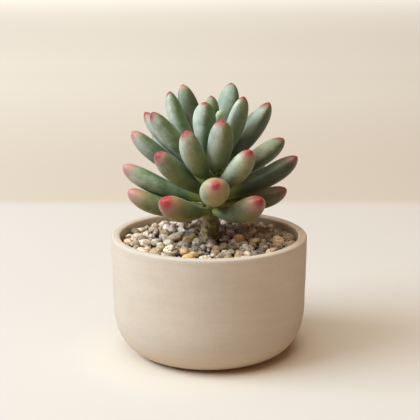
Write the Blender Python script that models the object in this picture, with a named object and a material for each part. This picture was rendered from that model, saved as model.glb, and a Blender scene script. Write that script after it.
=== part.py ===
"""A potted pachyphytum: plump leaves in a rosette on a short stem, standing in
a round stoneware pot of soil with a layer of pebbles on top.

Metres, +Z up. The origin is the middle of the pot's foot, on the surface that
the pot stands on. -Y is the front of the plant.
"""

import math
import random

import bmesh
import bpy
from mathutils import Matrix, Vector

MM = 0.001
SEAT = 0.3 * MM              # clearance where one piece meets another

# Pot
POT_WIDTH = 100 * MM
POT_HEIGHT = 61 * MM
POT_SIDES = 60
WALL = 4.6 * MM
WALL_TAPER = 0.6 * MM        # how much narrower the wall is above the belly
FOOT_RADIUS = 30 * MM
FOOT_RING = 6.5 * MM         # width of the ring that the pot stands on
FOOT_RECESS = 1.5 * MM
FLOOR = 6 * MM
LIP_STEPS = 6
BELLY_HEIGHT = 27 * MM       # where the rounded lower part becomes the wall
BELLY_POWER = 2.4            # 2 is a quarter ellipse, more is squarer

# Filling
SOIL_TOP = 50 * MM
SOIL_SIDES = 40
BED_TOP = 56.6 * MM
BED_SIDES = 48
STEM_HOLE_DEPTH = 7 * MM
STONES = 110
STONE_RADIUS = (2.4 * MM, 4.0 * MM)
STONE_SPREAD = (0.92, 1.08)  # how far a pebble's radius strays from its rule
STONE_UNEVEN = (0.94, 1.08)
STONE_LENGTH = (0.95, 1.2)   # length, width and thickness, as shares of its radius
STONE_WIDTH = (0.8, 1.0)
STONE_DEPTH = (0.65, 0.85)
STONE_LIFT = (0.0, 0.25)     # how far its middle lies above the bed, as a share
STONE_REACH = 1.3            # radii kept clear of the pot and of the stem
STONE_SPACING = 0.78         # distance between two middles, as a share of both radii
STONE_THROWS = 30000
STONE_SHRINK_THROWS = 6000   # throws over which the pebbles go from large to small
STONE_SEED = 11

# Stem
STEM_FOOT = SOIL_TOP - STEM_HOLE_DEPTH + SEAT
STEM_BEND = 56 * MM          # upright below this height, leaning above it
STEM_TOP = 105.6 * MM
STEM_LEAN = 2.5 / 50         # sideways run for each unit of height
STEM_SIDES = 12
STEM_RADII = (               # height, radius
    (44 * MM, 4.8 * MM),
    (60 * MM, 4.8 * MM),
    (66 * MM, 4.4 * MM),
    (70 * MM, 3.5 * MM),
    (72 * MM, 3.4 * MM),
    (85 * MM, 3.0 * MM),
    (97 * MM, 2.3 * MM),
    (104 * MM, 1.5 * MM),
    (106 * MM, 1.2 * MM),
)
STEM_BARE_TO = 76 * MM       # no leaves grow below this height
SCAR_PITCH = 3.4 * MM        # rings left on the bare stem by fallen leaves
SCAR_HEIGHT = 0.22 * MM

# Leaf
LEAF_SIDES = 12
LEAF_RINGS = 9
LEAF_NECK = 0.27             # girth at the base, as a share of the widest
LEAF_FATTEST = 0.65          # where along its length a leaf is widest
LEAF_TIP = (2.4, 0.62)       # how full it stays towards its tip, how pointed that is
BUD_TIP = (5.0, 0.5)         # the bud ends in a round dome
LEAF_TOP = 0.82              # the upper face is this much flatter than the lower

# Each leaf: bearing, rise, bend, turn (degrees), then length, width, depth
# and the height of its base (mm). The bearing is 0 at the front and goes round
# through the right. Rise is the mean slope, bend how much steeper the tip is
# than the base, and turn how much the bearing changes on the way.
LEAVES = {
    "leaf_low_1": (3.5, 25, 4, 0, 38, 14.8, 14.3, 78.7),
    "leaf_low_2": (-35, 19, 26, 18, 40, 14, 13, 73.2),
    "leaf_low_3": (37.5, 20, 36, -10, 40, 13.8, 12.8, 73),
    "leaf_low_4": (-77, 15.3, 48, 0, 41, 13, 11, 75.2),
    "leaf_low_5": (113, 7, 26, 0, 40, 12.5, 11.2, 75.5),
    "leaf_low_6": (148, 9, 26, 0, 41, 12.8, 11.2, 72.6),
    "leaf_low_7": (-177, 3, 24, 0, 40, 12.5, 11, 75.8),
    "leaf_low_8": (-134, 2, 26, 0, 39, 13, 11.4, 73.8),
    "leaf_low_9": (-172, 19.5, 24, 0, 40, 11.8, 10.4, 79.9),
    "leaf_second_1": (-85.5, 24.6, 24, 7, 45, 12, 11, 78.7),
    "leaf_second_2": (-47.5, 38, 14, 0, 40, 12.4, 11.8, 82.6),
    "leaf_second_3": (32, 37, 36, 0, 38.6, 12.2, 11.8, 86.6),
    "leaf_second_4": (89, 28.5, 19, 0, 45, 12.3, 11.4, 79.6),
    "leaf_second_5": (137, 22, 20, 0, 41, 12.5, 11, 81),
    "leaf_second_6": (168, 29, 20, 0, 42, 12.5, 11, 83.5),
    "leaf_second_7": (-140, 23, 20, 0, 41, 12.5, 11, 82.5),
    "leaf_third_1": (117, 27, 8, 0, 43, 12.5, 11.4, 87),
    "leaf_third_2": (-91.5, 36, 20, 0, 45.2, 11.6, 10.4, 87),
    "leaf_third_3": (-26.5, 50, 58, -12, 37.5, 12.2, 11.2, 90.7),
    "leaf_third_4": (10, 55, 68, 0, 37.5, 12.7, 11.6, 94.4),
    "leaf_third_5": (139, 43, 36, -12, 43, 11.8, 10.2, 91.2),
    "leaf_third_6": (178, 46, 20, 0, 42, 11.8, 10.3, 94.5),
    "leaf_third_7": (-127, 30, 20, 0, 41, 11, 9.5, 89.3),
    "leaf_third_8": (-161, 41, 22, 0, 41, 11.3, 9.8, 85.6),
    "leaf_fourth_1": (-69, 46.5, 15, 0, 41.5, 12, 10.6, 95),
    "leaf_fourth_2": (-107, 41.5, 19, 0, 43.8, 10.9, 9.5, 92.9),
    "leaf_fourth_3": (95, 54, 12, 0, 42, 12, 10.8, 94),
    "leaf_top_1": (55, 68, 10, 0, 38.5, 11.5, 10.1, 97),
    "leaf_top_2": (-22, 70, 8, 45, 33.6, 11.9, 10.4, 98.9),
    "leaf_top_3": (-108.5, 60, 36, 0, 40.4, 10.9, 9.4, 98.4),
    "leaf_top_4": (-145, 54, 24, 0, 42, 11.5, 9.9, 100.6),
    "leaf_top_5": (154, 63, 12, 0, 40, 12, 10.6, 100),
}

# The young leaves at the growing point stand on the stem's end: the same
# values, and then the base's place to the right and to the back (mm).
CROWN = {
    "leaf_crown": (-170, 80, 4, 0, 25.4, 7.8, 6.8, 105.9, 1.9, 1.1),
    "bud": (60, 79.5, 0, 0, 18.8, 5, 4.8, 105.9, 2.7, -0.4),
}

COLOURS = {
    "pot": (0.62, 0.53, 0.42, 1),
    "soil": (0.09, 0.06, 0.04, 1),
    "gravel": (0.50, 0.43, 0.35, 1),
    "stem": (0.24, 0.24, 0.11, 1),
    "leaf": (0.40, 0.47, 0.36, 1),
    "bud": (0.60, 0.65, 0.38, 1),
}


def clear_scene():
    for old in list(bpy.data.objects):
        bpy.data.objects.remove(old, do_unlink=True)


def material(name, roughness):
    made = bpy.data.materials.new(name)
    made.use_nodes = True
    shader = made.node_tree.nodes["Principled BSDF"]
    shader.inputs["Base Color"].default_value = COLOURS[name]
    shader.inputs["Roughness"].default_value = roughness
    shader.inputs["Metallic"].default_value = 0.0
    made.diffuse_color = COLOURS[name]
    return made


def add_object(name, bm, look, parent=None):
    """Close a bmesh into a named, smooth-shaded object with its material."""
    bmesh.ops.recalc_face_normals(bm, faces=bm.faces)
    mesh = bpy.data.meshes.new(name)
    bm.to_mesh(mesh)
    bm.free()
    mesh.shade_smooth()
    mesh.set_sharp_from_angle(angle=math.radians(40))
    mesh.materials.append(look)
    made = bpy.data.objects.new(name, mesh)
    made.parent = parent
    bpy.context.scene.collection.objects.link(made)
    return made


def between(table, height):
    """Read a (height, value) table at a height, straight between its rows."""
    for (low, first), (high, last) in zip(table, table[1:]):
        if height <= high:
            share = max(0.0, (height - low) / (high - low))
            return first + (last - first) * share
    return table[-1][1]


def skin(bm, rings, start=None, end=None):
    """Join rings of equal size into a tube, closed by a point or a flat face."""
    loops = [[bm.verts.new(point) for point in ring] for ring in rings]
    for low, high in zip(loops, loops[1:]):
        for i in range(len(low)):
            j = (i + 1) % len(low)
            bm.faces.new((low[i], low[j], high[j], high[i]))
    for loop, point in ((loops[0], start), (loops[-1], end)):
        if point is None:
            bm.faces.new(loop)
            continue
        tip = bm.verts.new(point)
        for i in range(len(loop)):
            bm.faces.new((loop[i], loop[(i + 1) % len(loop)], tip))


def turned(name, profile, sides, look, parent):
    """Turn (radius, height) points round Z. The first and last are on the axis."""
    bm = bmesh.new()
    turns = [2 * math.pi * i / sides for i in range(sides)]
    rings = [[(r * math.cos(a), r * math.sin(a), z) for a in turns]
             for r, z in profile[1:-1]]
    skin(bm, rings, (0, 0, profile[0][1]), (0, 0, profile[-1][1]))
    return add_object(name, bm, look, parent)


def belly(foot, wall, low, high, steps):
    """The rounded lower part of the pot, from its foot up to its wall."""
    power = 2 / BELLY_POWER
    points = []
    for i in range(steps + 1):
        turn = math.pi / 2 * i / steps
        points.append((foot + (wall - foot) * math.sin(turn) ** power,
                       low + (high - low) * (1 - math.cos(turn) ** power)))
    return points


def pot_inside(clear=0.0):
    """The pot's inner surface from the middle of its floor to its lip,
    moved in by a clearance."""
    wall = POT_WIDTH / 2 - WALL_TAPER - WALL
    curve = belly(FOOT_RADIUS - WALL / 2, wall, FLOOR, BELLY_HEIGHT + WALL / 2, 5)
    lip = (POT_WIDTH / 2 - WALL, POT_HEIGHT - WALL / 2)
    return ([(0, FLOOR + clear)]
            + [(r - clear, z + clear) for r, z in curve]
            + [(lip[0] - clear, lip[1])])


def inner_radius(height):
    """The pot's inner radius at a height above its belly."""
    (r0, z0), (r1, z1) = pot_inside()[-2:]
    return r0 + (r1 - r0) * (height - z0) / (z1 - z0)


def make_pot(look, parent):
    radius = POT_WIDTH / 2
    outer = [(0, FOOT_RECESS),
             (FOOT_RADIUS - FOOT_RING - 2 * MM, FOOT_RECESS),
             (FOOT_RADIUS - FOOT_RING, 0)]
    outer += belly(FOOT_RADIUS, radius - WALL_TAPER, 0, BELLY_HEIGHT, 8)
    lip_base = POT_HEIGHT - WALL / 2
    outer += [(radius - WALL_TAPER * 0.35, (BELLY_HEIGHT + lip_base) / 2)]
    lip = []
    for i in range(LIP_STEPS + 1):
        turn = math.pi * i / LIP_STEPS
        lip.append((radius - WALL / 2 + WALL / 2 * math.cos(turn),
                    lip_base + WALL / 2 * math.sin(turn)))
    inner = pot_inside()[-2::-1]
    return turned("pot", outer + lip + inner, POT_SIDES, look, parent)


def make_soil(look, parent):
    hole = between(STEM_RADII, SOIL_TOP) + SEAT
    outline = [point for point in pot_inside(SEAT) if point[1] < SOIL_TOP]
    outline += [(inner_radius(SOIL_TOP) - SEAT, SOIL_TOP),
                (hole, SOIL_TOP),
                (hole, SOIL_TOP - STEM_HOLE_DEPTH),
                (0, SOIL_TOP - STEM_HOLE_DEPTH)]
    return turned("soil", outline, SOIL_SIDES, look, parent)


def stem_axis(height):
    return Vector((STEM_LEAN * max(0.0, height - STEM_BEND), 0, height))


def make_stem(look, parent):
    heights = [STEM_FOOT, SOIL_TOP, STEM_BEND]
    while heights[-1] + SCAR_PITCH / 3 < STEM_BARE_TO:
        heights.append(heights[-1] + SCAR_PITCH / 3)
    heights += [80 * MM, 85 * MM, 91 * MM, 97 * MM, 101 * MM, 104 * MM]
    rings = []
    for height in heights:
        radius = between(STEM_RADII, height)
        if STEM_BEND + 1 * MM < height < STEM_BARE_TO:
            turn = 2 * math.pi * (height - STEM_BEND) / SCAR_PITCH
            radius += SCAR_HEIGHT * math.cos(turn)
        middle = stem_axis(height)
        rings.append([middle + radius * Vector((math.cos(a), math.sin(a), 0))
                      for a in (2 * math.pi * i / STEM_SIDES for i in range(STEM_SIDES))])
    bm = bmesh.new()
    skin(bm, rings, None, stem_axis(STEM_TOP))
    return add_object("stem", bm, look, parent)


def stone(name, radius, rng):
    """One pebble: a low ball, stretched, flattened and a little uneven."""
    bm = bmesh.new()
    bmesh.ops.create_icosphere(bm, subdivisions=1, radius=1)
    for vert in bm.verts:
        vert.co *= rng.uniform(*STONE_UNEVEN)
    roll = Matrix.Rotation(rng.uniform(0, 2 * math.pi), 3, "X")
    bmesh.ops.rotate(bm, verts=bm.verts, matrix=roll)
    size = [radius * rng.uniform(*share) for share in (STONE_LENGTH, STONE_WIDTH, STONE_DEPTH)]
    bmesh.ops.scale(bm, verts=bm.verts, vec=size)
    turn = Matrix.Rotation(rng.uniform(0, 2 * math.pi), 3, "Z")
    bmesh.ops.rotate(bm, verts=bm.verts, matrix=turn)
    mesh = bpy.data.meshes.new(name)
    bm.to_mesh(mesh)
    bm.free()
    return bpy.data.objects.new(name, mesh)


def stone_places(rng):
    """Places for the pebbles: thrown at random and kept where they only just
    overlap, clear of the pot and of the stem."""
    hole = between(STEM_RADII, BED_TOP) + SEAT
    rim = inner_radius(BED_TOP) - SEAT
    kept = []
    for throw in range(STONE_THROWS):
        if len(kept) == STONES:
            break
        share = min(1.0, throw / STONE_SHRINK_THROWS)
        radius = STONE_RADIUS[1] + (STONE_RADIUS[0] - STONE_RADIUS[1]) * share
        radius *= rng.uniform(*STONE_SPREAD)
        reach = radius * STONE_REACH
        out = math.sqrt(rng.uniform((hole + reach) ** 2, (rim - reach) ** 2))
        turn = rng.uniform(0, 2 * math.pi)
        x, y = out * math.cos(turn), out * math.sin(turn)
        if all(math.hypot(x - u, y - v) > STONE_SPACING * (radius + r) for u, v, r in kept):
            kept.append((x, y, radius))
    return kept


def make_gravel(look, parent):
    rng = random.Random(STONE_SEED)
    hole = between(STEM_RADII, STEM_BEND) + SEAT
    rim = inner_radius(SOIL_TOP) - SEAT
    low = SOIL_TOP + SEAT
    bm = bmesh.new()
    turns = [2 * math.pi * i / BED_SIDES for i in range(BED_SIDES)]
    outline = [(hole, low), (rim, low), (rim, BED_TOP), (hole, BED_TOP)]
    loops = [[bm.verts.new((r * math.cos(a), r * math.sin(a), z)) for a in turns]
             for r, z in outline]
    for loop, after in zip(loops, loops[1:] + loops[:1]):
        for i in range(BED_SIDES):
            j = (i + 1) % BED_SIDES
            bm.faces.new((loop[i], loop[j], after[j], after[i]))
    bed = add_object("gravel", bm, look, parent)

    stones = bpy.data.collections.new("stones")
    bpy.context.scene.collection.children.link(stones)
    for i, (x, y, radius) in enumerate(stone_places(rng)):
        made = stone("stone_%03d" % i, radius, rng)
        made.location = (x, y, BED_TOP + radius * rng.uniform(*STONE_LIFT))
        stones.objects.link(made)
    join = bed.modifiers.new("pebbles", "BOOLEAN")
    join.operation = "UNION"
    join.operand_type = "COLLECTION"
    join.collection = stones
    bpy.context.view_layer.update()
    fused = bpy.data.meshes.new_from_object(
        bed.evaluated_get(bpy.context.evaluated_depsgraph_get()))
    bed.modifiers.remove(join)
    bed.data = fused
    for made in list(stones.objects):
        bpy.data.objects.remove(made, do_unlink=True)
    bpy.data.collections.remove(stones)
    return bed


def girth(along, tip):
    """A leaf's girth at a share of its length, as a share of its widest."""
    full, pointed = tip
    body = math.sin(math.pi / 2 * min(1.0, along / LEAF_FATTEST)) ** 1.55
    body = LEAF_NECK + (1 - LEAF_NECK) * body
    past = max(0.0, (along - LEAF_FATTEST) / (1 - LEAF_FATTEST))
    return body * (1 - past ** full) ** pointed


def leaf_path(rise, bend, turn, length):
    """Points along a leaf's middle, from its base at the origin out towards
    -Y, each with its share of the length, slope and bearing."""
    steps = 60
    point = Vector((0, 0, 0))
    path = []
    for i in range(steps + 1):
        along = i / steps
        slope = math.radians(rise + bend * (along - 0.5))
        bearing = math.radians(turn * (along - 0.3))
        path.append((point.copy(), along, slope, bearing))
        ahead = Vector((math.sin(bearing) * math.cos(slope),
                        -math.cos(bearing) * math.cos(slope), math.sin(slope)))
        point += ahead * (length / steps)
    return path


def make_leaf(name, values, look, parent, tip=LEAF_TIP):
    bearing, rise, bend, turn = values[:4]
    length, width, depth, height = (value * MM for value in values[4:8])
    neck = LEAF_NECK * depth / 2
    seat = abs(math.sin(math.radians(rise - bend / 2)))
    bearing = math.radians(bearing)
    outward = Vector((math.sin(bearing), -math.cos(bearing), 0))
    if len(values) > 8:
        base = Vector((values[8] * MM, values[9] * MM, height))
    else:
        base = stem_axis(height) + outward * (
            between(STEM_RADII, height) + SEAT + neck * seat)

    path = leaf_path(rise, bend, turn, length)
    rings = []
    for i in range(LEAF_RINGS - 1):
        share = 1 - (1 - i / (LEAF_RINGS - 1)) ** 1.7
        point, along, slope, way = path[round(share * (len(path) - 1))]
        side = Vector((math.cos(way), math.sin(way), 0))
        ahead = Vector((math.sin(way) * math.cos(slope),
                        -math.cos(way) * math.cos(slope), math.sin(slope)))
        up = side.cross(ahead)
        if up.z < 0:
            up.negate()
        ring = []
        for j in range(LEAF_SIDES):
            angle = 2 * math.pi * j / LEAF_SIDES
            flat = LEAF_TOP if math.sin(angle) > 0 else 1.0
            ring.append(point + girth(along, tip) / 2 * (
                width * math.cos(angle) * side
                + depth * flat * math.sin(angle) * up))
        rings.append(ring)
    bm = bmesh.new()
    skin(bm, rings, None, path[-1][0])
    made = add_object(name, bm, look, parent)
    made.location = base
    made.rotation_euler = (0, 0, bearing)
    return made


def main():
    clear_scene()
    whole = bpy.data.objects.new("potted_pachyphytum", None)
    bpy.context.scene.collection.objects.link(whole)

    make_pot(material("pot", 0.75), whole)
    make_soil(material("soil", 0.95), whole)
    make_gravel(material("gravel", 0.8), whole)
    make_stem(material("stem", 0.8), whole)
    leaf_look = material("leaf", 0.55)
    for name, values in LEAVES.items():
        make_leaf(name, values, leaf_look, whole)
    make_leaf("leaf_crown", CROWN["leaf_crown"], leaf_look, whole)
    make_leaf("bud", CROWN["bud"], material("bud", 0.5), whole, BUD_TIP)


main()
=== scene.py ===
"""The looks of the potted pachyphytum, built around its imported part.

Metres, in the part's own frame: +Z up, the origin under the middle of the pot
and -Y the front of the plant. Most pieces stand for the CAD node whose place
they fill; the small pebbles, the grit and the husks only ride on the part. The
pot, the stem and the leaves repeat the part's own design values, apart from
those whose comment says otherwise.
"""

import math
import random

import bmesh
import bpy
import numpy as np
from mathutils import Matrix, Vector, noise


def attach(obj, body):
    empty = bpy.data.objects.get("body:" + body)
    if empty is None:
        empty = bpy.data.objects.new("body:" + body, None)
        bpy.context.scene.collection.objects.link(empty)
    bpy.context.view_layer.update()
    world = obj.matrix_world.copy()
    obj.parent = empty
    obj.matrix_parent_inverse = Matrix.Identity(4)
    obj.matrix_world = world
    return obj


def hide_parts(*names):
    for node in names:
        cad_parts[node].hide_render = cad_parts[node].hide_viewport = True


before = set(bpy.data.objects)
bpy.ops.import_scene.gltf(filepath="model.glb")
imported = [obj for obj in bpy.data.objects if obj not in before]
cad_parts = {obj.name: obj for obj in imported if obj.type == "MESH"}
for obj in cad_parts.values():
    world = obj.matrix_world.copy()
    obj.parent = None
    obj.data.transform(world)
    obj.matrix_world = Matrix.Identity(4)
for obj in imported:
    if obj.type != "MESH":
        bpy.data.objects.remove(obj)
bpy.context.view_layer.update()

MM = 0.001

# Camera, at the photograph's viewing angle (degrees)
VIEW_ANGLE = 22
VIEW_PITCH = 13.8
VIEW_DISTANCE = 550 * MM
VIEW_TARGET = Vector((0.5, 0, 73)) * MM

# Pot, as in the part, with more sides and a slightly flatter lip
POT_WIDTH = 100 * MM
POT_HEIGHT = 61 * MM
WALL = 4.6 * MM
WALL_TAPER = 0.6 * MM        # how much narrower the wall is above the belly
FOOT_RADIUS = 30 * MM
FOOT_RING = 6.5 * MM         # width of the ring that the pot stands on
FOOT_RECESS = 1.5 * MM
FOOT_SLOPE = 2 * MM          # width of the slope from the ring to the recess
FLOOR = 6 * MM
BELLY_HEIGHT = 27 * MM       # where the rounded lower part becomes the wall
BELLY_POWER = 2.4            # 2 is a quarter ellipse, more is squarer
LIP_POWER = 3.4              # 2 would be a half circle; a real lip is a little flatter
POT_SIDES = 160
BELLY_STEPS = 30
WALL_STEPS = 28
LIP_STEPS = 28
INSIDE_STEPS = 14
THROW_MARK = 0.035 * MM      # depth of the faint rings left by throwing
THROW_WAVE = 1.9 * MM        # height of a ring, divided by two pi

# Stem, as in the part, with more sides and a slightly fuller shoulder
SEAT = 0.3 * MM              # clearance where one piece meets another
STEM_FOOT = 43.3 * MM
STEM_BEND = 56 * MM          # upright below this height, leaning above it
STEM_TOP = 105.6 * MM
STEM_LEAN = 2.5 / 50         # sideways run for each unit of height
STEM_RADII = (               # height, radius
    (44 * MM, 4.8 * MM),
    (60 * MM, 4.8 * MM),
    (66 * MM, 4.6 * MM),
    (69.5 * MM, 4.1 * MM),
    (72 * MM, 3.4 * MM),
    (85 * MM, 3.0 * MM),
    (97 * MM, 2.3 * MM),
    (104 * MM, 1.5 * MM),
    (106 * MM, 1.2 * MM),
)
STEM_SIDES = 56
STEM_RINGS = 170
STEM_SEED = 8
BARK_SMOOTH_FROM = 78 * MM
BARK_ROUGH = 0.14 * MM
SCARS = 26
SCAR_FOOT = 57.5             # mm, height of the lowest
SCAR_STEP = 0.78             # mm from one to the next
SCAR_TURN = 137.5            # degrees from one to the next
SCAR_WIDE = 0.62             # radians
SCAR_TALL = 0.75 * MM
SCAR_RISE = 0.3 * MM
SCAR_SINK = 0.12 * MM        # how far the bark between them lies below the stem's radius

# Dry scraps of old leaves that cling to the stem: bearing, height of the foot
# (mm), length, width (mm) and how far the scrap stands off (degrees)
HUSKS = (
    (-100, 57.5, 5.0, 3.0, 22), (-66, 58.0, 4.4, 2.6, 14), (-128, 60.0, 4.0, 2.4, 30),
    (-84, 61.5, 4.6, 2.4, 26), (-40, 60.0, 3.0, 2.0, 12), (-104, 65.5, 3.4, 1.8, 36),
    (-70, 65.0, 3.6, 2.0, 16), (60, 58, 2.4, 1.6, 22), (150, 60, 2.8, 1.8, 26),
)
HUSK_ACROSS = 6
HUSK_ALONG = 8
HUSK_FACE = 0.09             # mm, half of a scrap's thickness
HUSK_SEAT = 0.1 * MM         # how deep its foot sits in the bark

# Leaf form, as in the part, with more sides and rings and a small point
LEAF_SIDES = 44
LEAF_RINGS = 46
LEAF_CROWDING = 1.6          # how much closer the rings lie towards the tip; 1 is even
PATH_STEPS = 240
LEAF_NECK = 0.34             # a little fuller than in the part
PART_NECK = 0.27             # the part's own, which places a leaf's base
LEAF_FATTEST = 0.65
LEAF_TIP = (2.4, 0.57)       # how full towards the tip, and how pointed
BLUNT_TIP = (2.4, 0.5)
BLUNT_LEAVES = ("leaf_low_1", "leaf_low_2", "leaf_low_4", "leaf_second_1", "leaf_second_2",
                "leaf_third_2")
BUD_TIP = (5.0, 0.5)
LEAF_TOP = 0.82              # how high the upper face is, as a share of the lower
MUCRO_LENGTH = 0.25 * MM     # the small point that ends a leaf
MUCRO_RADIUS = 0.38 * MM
LEAF_FIT = 0.985             # keeps the round form within the part's flat faces
LEAF_REACH = 0.998           # and its tip within the part's tip
KEEL_FROM, KEEL_TO = 0.12, 0.42          # shares of the length over which the keel grows
KEEL_ABOVE, KEEL_BELOW = 0.12, 0.42      # how far it makes the section less round
LEAF_WAVES, LEAF_DENTS = 0.022, 0.008    # unevenness, as shares of the girth
LIGHT_FROM, LIGHT_TO = 3, 12             # mm behind the tip where the skin's lightness changes
TIP_LONG, TIP_WIDE = 0.72, 1.15          # how the red reaches along a leaf and across it
TIP_UNDER = 0.4                          # mm further on the underside

# Colours of a leaf's skin
BLOOM = (0.485, 0.545, 0.46)         # the pale waxy powder
SKIN = (0.105, 0.165, 0.075)         # the green under it
OLIVE = (0.26, 0.21, 0.062)
SHADE_BETWEEN_LEAVES = (0.07, 0.13, 0.03)            # painted shade between the leaves, on their under-sides
UPPER = (0.34, 0.42, 0.2)           # the colour between the leaves on their upper sides
FOOT = (0.31, 0.34, 0.08)            # where a leaf leaves the stem
TIP_RED = (0.29, 0.03, 0.034)
TIP_DULL = (0.12, 0.04, 0.042)
TIP_PINK = (0.33, 0.14, 0.12)
TIP_PALE = (0.43, 0.22, 0.205)
TIP_BROWN = (0.14, 0.07, 0.055)
TIP_BLUSH = (0.36, 0.215, 0.17)
TIP_PEACH = (0.36, 0.215, 0.105)
FRECKLE = (0.16, 0.1, 0.06)
KEY_LAMP_WAY = (-0.86, -0.25, 0.45)       # the way to the key lamp; colour is painted lighter on the side facing it

# Each leaf, as in the part: bearing, rise, bend, turn (degrees), length, width,
# depth and the height of its base (mm). The two young ones on the stem's end also
# give their base's place to the right and to the back (mm).
LEAVES = {
    "leaf_low_1": (3.5, 25, 4, 0, 38, 14.8, 14.3, 78.7),
    "leaf_low_2": (-35, 19, 26, 18, 40, 14, 13, 73.2),
    "leaf_low_3": (37.5, 20, 36, -10, 40, 13.8, 12.8, 73),
    "leaf_low_4": (-77, 15.3, 48, 0, 41, 13, 11, 75.2),
    "leaf_low_5": (113, 7, 26, 0, 40, 12.5, 11.2, 75.5),
    "leaf_low_6": (148, 9, 26, 0, 41, 12.8, 11.2, 72.6),
    "leaf_low_7": (-177, 3, 24, 0, 40, 12.5, 11, 75.8),
    "leaf_low_8": (-134, 2, 26, 0, 39, 13, 11.4, 73.8),
    "leaf_low_9": (-172, 19.5, 24, 0, 40, 11.8, 10.4, 79.9),
    "leaf_second_1": (-85.5, 24.6, 24, 7, 45, 12, 11, 78.7),
    "leaf_second_2": (-47.5, 38, 14, 0, 40, 12.4, 11.8, 82.6),
    "leaf_second_3": (32, 37, 36, 0, 38.6, 12.2, 11.8, 86.6),
    "leaf_second_4": (89, 28.5, 19, 0, 45, 12.3, 11.4, 79.6),
    "leaf_second_5": (137, 22, 20, 0, 41, 12.5, 11, 81),
    "leaf_second_6": (168, 29, 20, 0, 42, 12.5, 11, 83.5),
    "leaf_second_7": (-140, 23, 20, 0, 41, 12.5, 11, 82.5),
    "leaf_third_1": (117, 27, 8, 0, 43, 12.5, 11.4, 87),
    "leaf_third_2": (-91.5, 36, 20, 0, 45.2, 11.6, 10.4, 87),
    "leaf_third_3": (-26.5, 50, 58, -12, 37.5, 12.2, 11.2, 90.7),
    "leaf_third_4": (10, 55, 68, 0, 37.5, 12.7, 11.6, 94.4),
    "leaf_third_5": (139, 43, 36, -12, 43, 11.8, 10.2, 91.2),
    "leaf_third_6": (178, 46, 20, 0, 42, 11.8, 10.3, 94.5),
    "leaf_third_7": (-127, 30, 20, 0, 41, 11, 9.5, 89.3),
    "leaf_third_8": (-161, 41, 22, 0, 41, 11.3, 9.8, 85.6),
    "leaf_fourth_1": (-69, 46.5, 15, 0, 41.5, 12, 10.6, 95),
    "leaf_fourth_2": (-107, 41.5, 19, 0, 43.8, 10.9, 9.5, 92.9),
    "leaf_fourth_3": (95, 54, 12, 0, 42, 12, 10.8, 94),
    "leaf_top_1": (55, 68, 10, 0, 38.5, 11.5, 10.1, 97),
    "leaf_top_2": (-22, 70, 8, 45, 33.6, 11.9, 10.4, 98.9),
    "leaf_top_3": (-108.5, 60, 36, 0, 40.4, 10.9, 9.4, 98.4),
    "leaf_top_4": (-145, 54, 24, 0, 42, 11.5, 9.9, 100.6),
    "leaf_top_5": (154, 63, 12, 0, 40, 12, 10.6, 100),
    "leaf_crown": (-170, 80, 4, 0, 25.4, 7.8, 6.8, 105.9, 1.9, 1.1),
}
BUD = (60, 79.5, 0, 0, 18.8, 5, 4.8, 105.9, 2.7, -0.4)

# How a leaf looks: radius of the red spot at its tip, how far the blush round it
# reaches (mm), how dull (or, below 0, how pale) the red is, how olive the skin is,
# how thick the powder on it is, how light the skin is near the tip, how many times
# as light it is near the foot, and how sharp its keel is. The powder and the two
# lightnesses are partly painted shade, lower on leaves that lie in others' shadow
PLAIN = (2.2, 5.0, 0.4, 0.3, 0.7, 0.7, 1.1, 0.6)
LOOKS = {                    # the other leaves are plain
    "leaf_low_1": (2.7, 8, 0.15, 1, 0.55, 0.96, 1.25, 0.2),
    "leaf_low_2": (4.6, 10.5, 0, 0.9, 0.4, 0.78, 1.15, 0.3),
    "leaf_low_3": (4.2, 9.5, 0.3, 0.8, 0.45, 0.54, 1.25, 0.3),
    "leaf_low_4": (4.6, 10, -0.7, 0.9, 0.5, 0.95, 0.95, 0.4),
    "leaf_low_5": (5.5, 12, 0.9, 0.9, 0.2, 0.5, 1.3, 0.4),
    "leaf_low_8": (2.6, 7, 0.3, 0.8, 0.5, 0.7, 1, 0.4),
    "leaf_second_1": (4, 8, -0.75, 0.2, 1.05, 0.92, 1.25, 0.5),
    "leaf_second_2": (3, 6.2, 0.3, 0.5, 0.9, 0.74, 1.25, 0.45),
    "leaf_second_3": (2.8, 5.5, 0.15, 0.6, 0.85, 0.88, 1.2, 0.45),
    "leaf_second_4": (3.2, 7, 0.85, 0.6, 0.2, 0.24, 1, 0.6),
    "leaf_third_1": (3.4, 6.5, 0.8, 0.2, 1, 0.55, 1.5, 0.6),
    "leaf_third_2": (2.8, 6.2, -0.5, 0.15, 1.05, 0.62, 1.1, 0.6),
    "leaf_third_3": (2.7, 4.4, 0.3, 0.5, 1, 0.82, 1.15, 0.45),
    "leaf_third_4": (2.5, 3.9, 0.3, 0.35, 1, 0.68, 1, 0.5),
    "leaf_third_5": (1.2, 2.5, 0.8, 0.3, 0.5, 0.8, 1.2, 0.7),
    "leaf_fourth_1": (2.4, 4.6, 0.5, 0.2, 1.05, 0.68, 1.55, 0.6),
    "leaf_fourth_2": (2.8, 6, 0.2, 0.2, 0.95, 0.72, 1.3, 0.6),
    "leaf_fourth_3": (3.2, 4.6, 0.65, 0.1, 0.8, 0.62, 0.75, 1),
    "leaf_top_1": (1.7, 3.4, 0.6, 0.1, 0.95, 0.8, 1.2, 0.85),
    "leaf_top_2": (1, 2.6, 0.3, 0, 0.95, 0.74, 1.6, 0.85),
    "leaf_top_3": (1.4, 3, 0.7, 0, 1, 0.8, 1.15, 0.85),
    "leaf_top_4": (1.2, 4, 0.1, 0, 0.45, 0.66, 0.5, 0.85),
    "leaf_top_5": (1.3, 3, 0.6, 0, 0.95, 0.62, 1, 0.85),
    "leaf_crown": (0.6, 1.6, 0.7, 0.6, 0.5, 0.85, 0.9, 0.8),
    "bud": (0.1, 1, 0, 0, 0.5, 1, 1, 0),
}

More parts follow.
